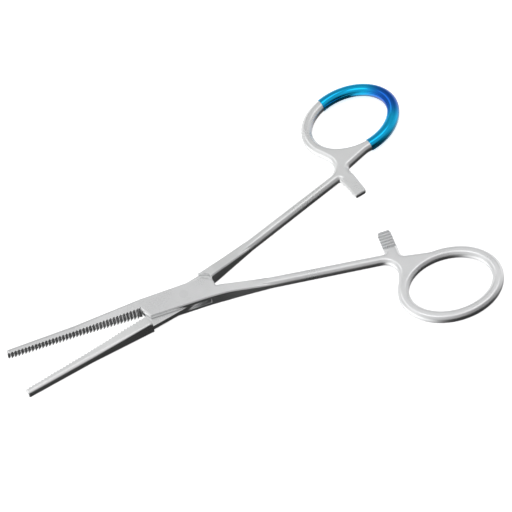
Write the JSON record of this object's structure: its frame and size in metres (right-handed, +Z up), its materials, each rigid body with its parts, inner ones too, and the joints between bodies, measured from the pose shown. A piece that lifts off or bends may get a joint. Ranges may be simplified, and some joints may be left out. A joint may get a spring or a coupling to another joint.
{
  "type": "hemostatic forceps",
  "caption": "Straight ring-handled clamp with a box lock, cross-serrated jaws and a ratchet that holds it shut; one finger ring wears a coloured coat.",
  "frame": {"origin": "pivot axis at the underside of the box lock", "axes": "+X along the instrument from the jaws to the finger rings, +Z up along the pivot axis, away from the surface that it lies on"},
  "size_m": [0.1521, 0.0998, 0.0052],
  "materials": {
    "steel": "fine satin stainless steel",
    "pin_steel": "satin stainless steel, ground flush",
    "blue_coat": "glossy smooth coat"
  },
  "bodies": {
    "box_half": {"box_arm": "steel", "pivot_pin": "pin_steel"},
    "insert_half": {"insert_arm": "steel", "ring_coat": "blue_coat"}
  },
  "joints": [
    {"name": "box_lock_pivot", "type": "hinge", "parent": "box_half", "child": "insert_half", "pos_m": [0, 0, 0], "axis": [0, 0, 1], "range_deg": [-14.6, 45]}
  ]
}
